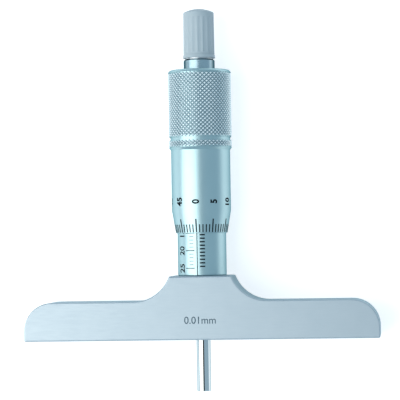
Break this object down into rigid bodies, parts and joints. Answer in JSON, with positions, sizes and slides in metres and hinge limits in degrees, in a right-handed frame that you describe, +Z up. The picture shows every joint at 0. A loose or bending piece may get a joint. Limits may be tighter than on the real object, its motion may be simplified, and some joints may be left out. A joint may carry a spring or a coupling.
{
  "type": "depth micrometer",
  "caption": "Depth micrometer: a bar-shaped steel base with a raised neck, a graduated sleeve, a knurled thimble with a ratchet stop on top and a measuring rod below.",
  "frame": {"origin": "centre of the base's measuring face, on the rod's axis", "axes": "+Y up the rod's axis from the measuring face to the ratchet, +X to the right of the base seen from its graduated front, +Z out of that front face; at rest it lies on its back, with +Z up"},
  "size_m": [0.1016, 0.11, 0.0182],
  "materials": {
    "base_steel": "ground, satin chrome",
    "sleeve_chrome": "satin chrome",
    "thimble_chrome": "satin chrome, knurled grip",
    "rod_steel": "hardened and lapped",
    "inner_steel": "turned",
    "collar_steel": "polished",
    "spring_steel": "drawn wire",
    "cap_plastic": "matte, moulded"
  },
  "bodies": {
    "base": {"base": "base_steel", "inner_sleeve": "inner_steel", "adjusting_nut": "inner_steel"},
    "sleeve": {"graduated_sleeve": "sleeve_chrome"},
    "rod": {"measuring_rod": "rod_steel"},
    "thimble": {"spindle": "inner_steel", "thimble": "thimble_chrome", "ratchet_collar": "collar_steel", "ratchet_screw": "inner_steel"},
    "ratchet": {"ratchet_barrel": "inner_steel", "ratchet_washer": "inner_steel", "ratchet_cap": "cap_plastic", "ratchet_spring": "spring_steel"},
    "click": {"click_ring": "inner_steel"}
  },
  "joints": [
    {"name": "sleeve_set", "type": "hinge", "parent": "base", "child": "sleeve", "pos_m": [0, 0.03, 0], "axis": [0, 1, 0], "continuous": true},
    {"name": "rod_travel", "type": "slide", "parent": "base", "child": "rod", "axis": [0, -1, 0], "range_m": [-0.015, 0.01]},
    {"name": "thimble_turn", "type": "hinge", "parent": "rod", "child": "thimble", "pos_m": [0, 0.05, 0], "axis": [0, -1, 0], "range_deg": [-10800, 7200]},
    {"name": "ratchet_turn", "type": "hinge", "parent": "thimble", "child": "ratchet", "pos_m": [0, 0.085, 0], "axis": [0, -1, 0], "continuous": true},
    {"name": "click_lift", "type": "slide", "parent": "ratchet", "child": "click", "axis": [0, 1, 0], "range_m": [0, 0.0004], "stiffness_N_per_m": 1500, "deforming": ["ratchet_spring"]}
  ],
  "couplings": [
    {"joint": "thimble_turn", "follows": "rod_travel", "rad_per_m": 12566}
  ]
}
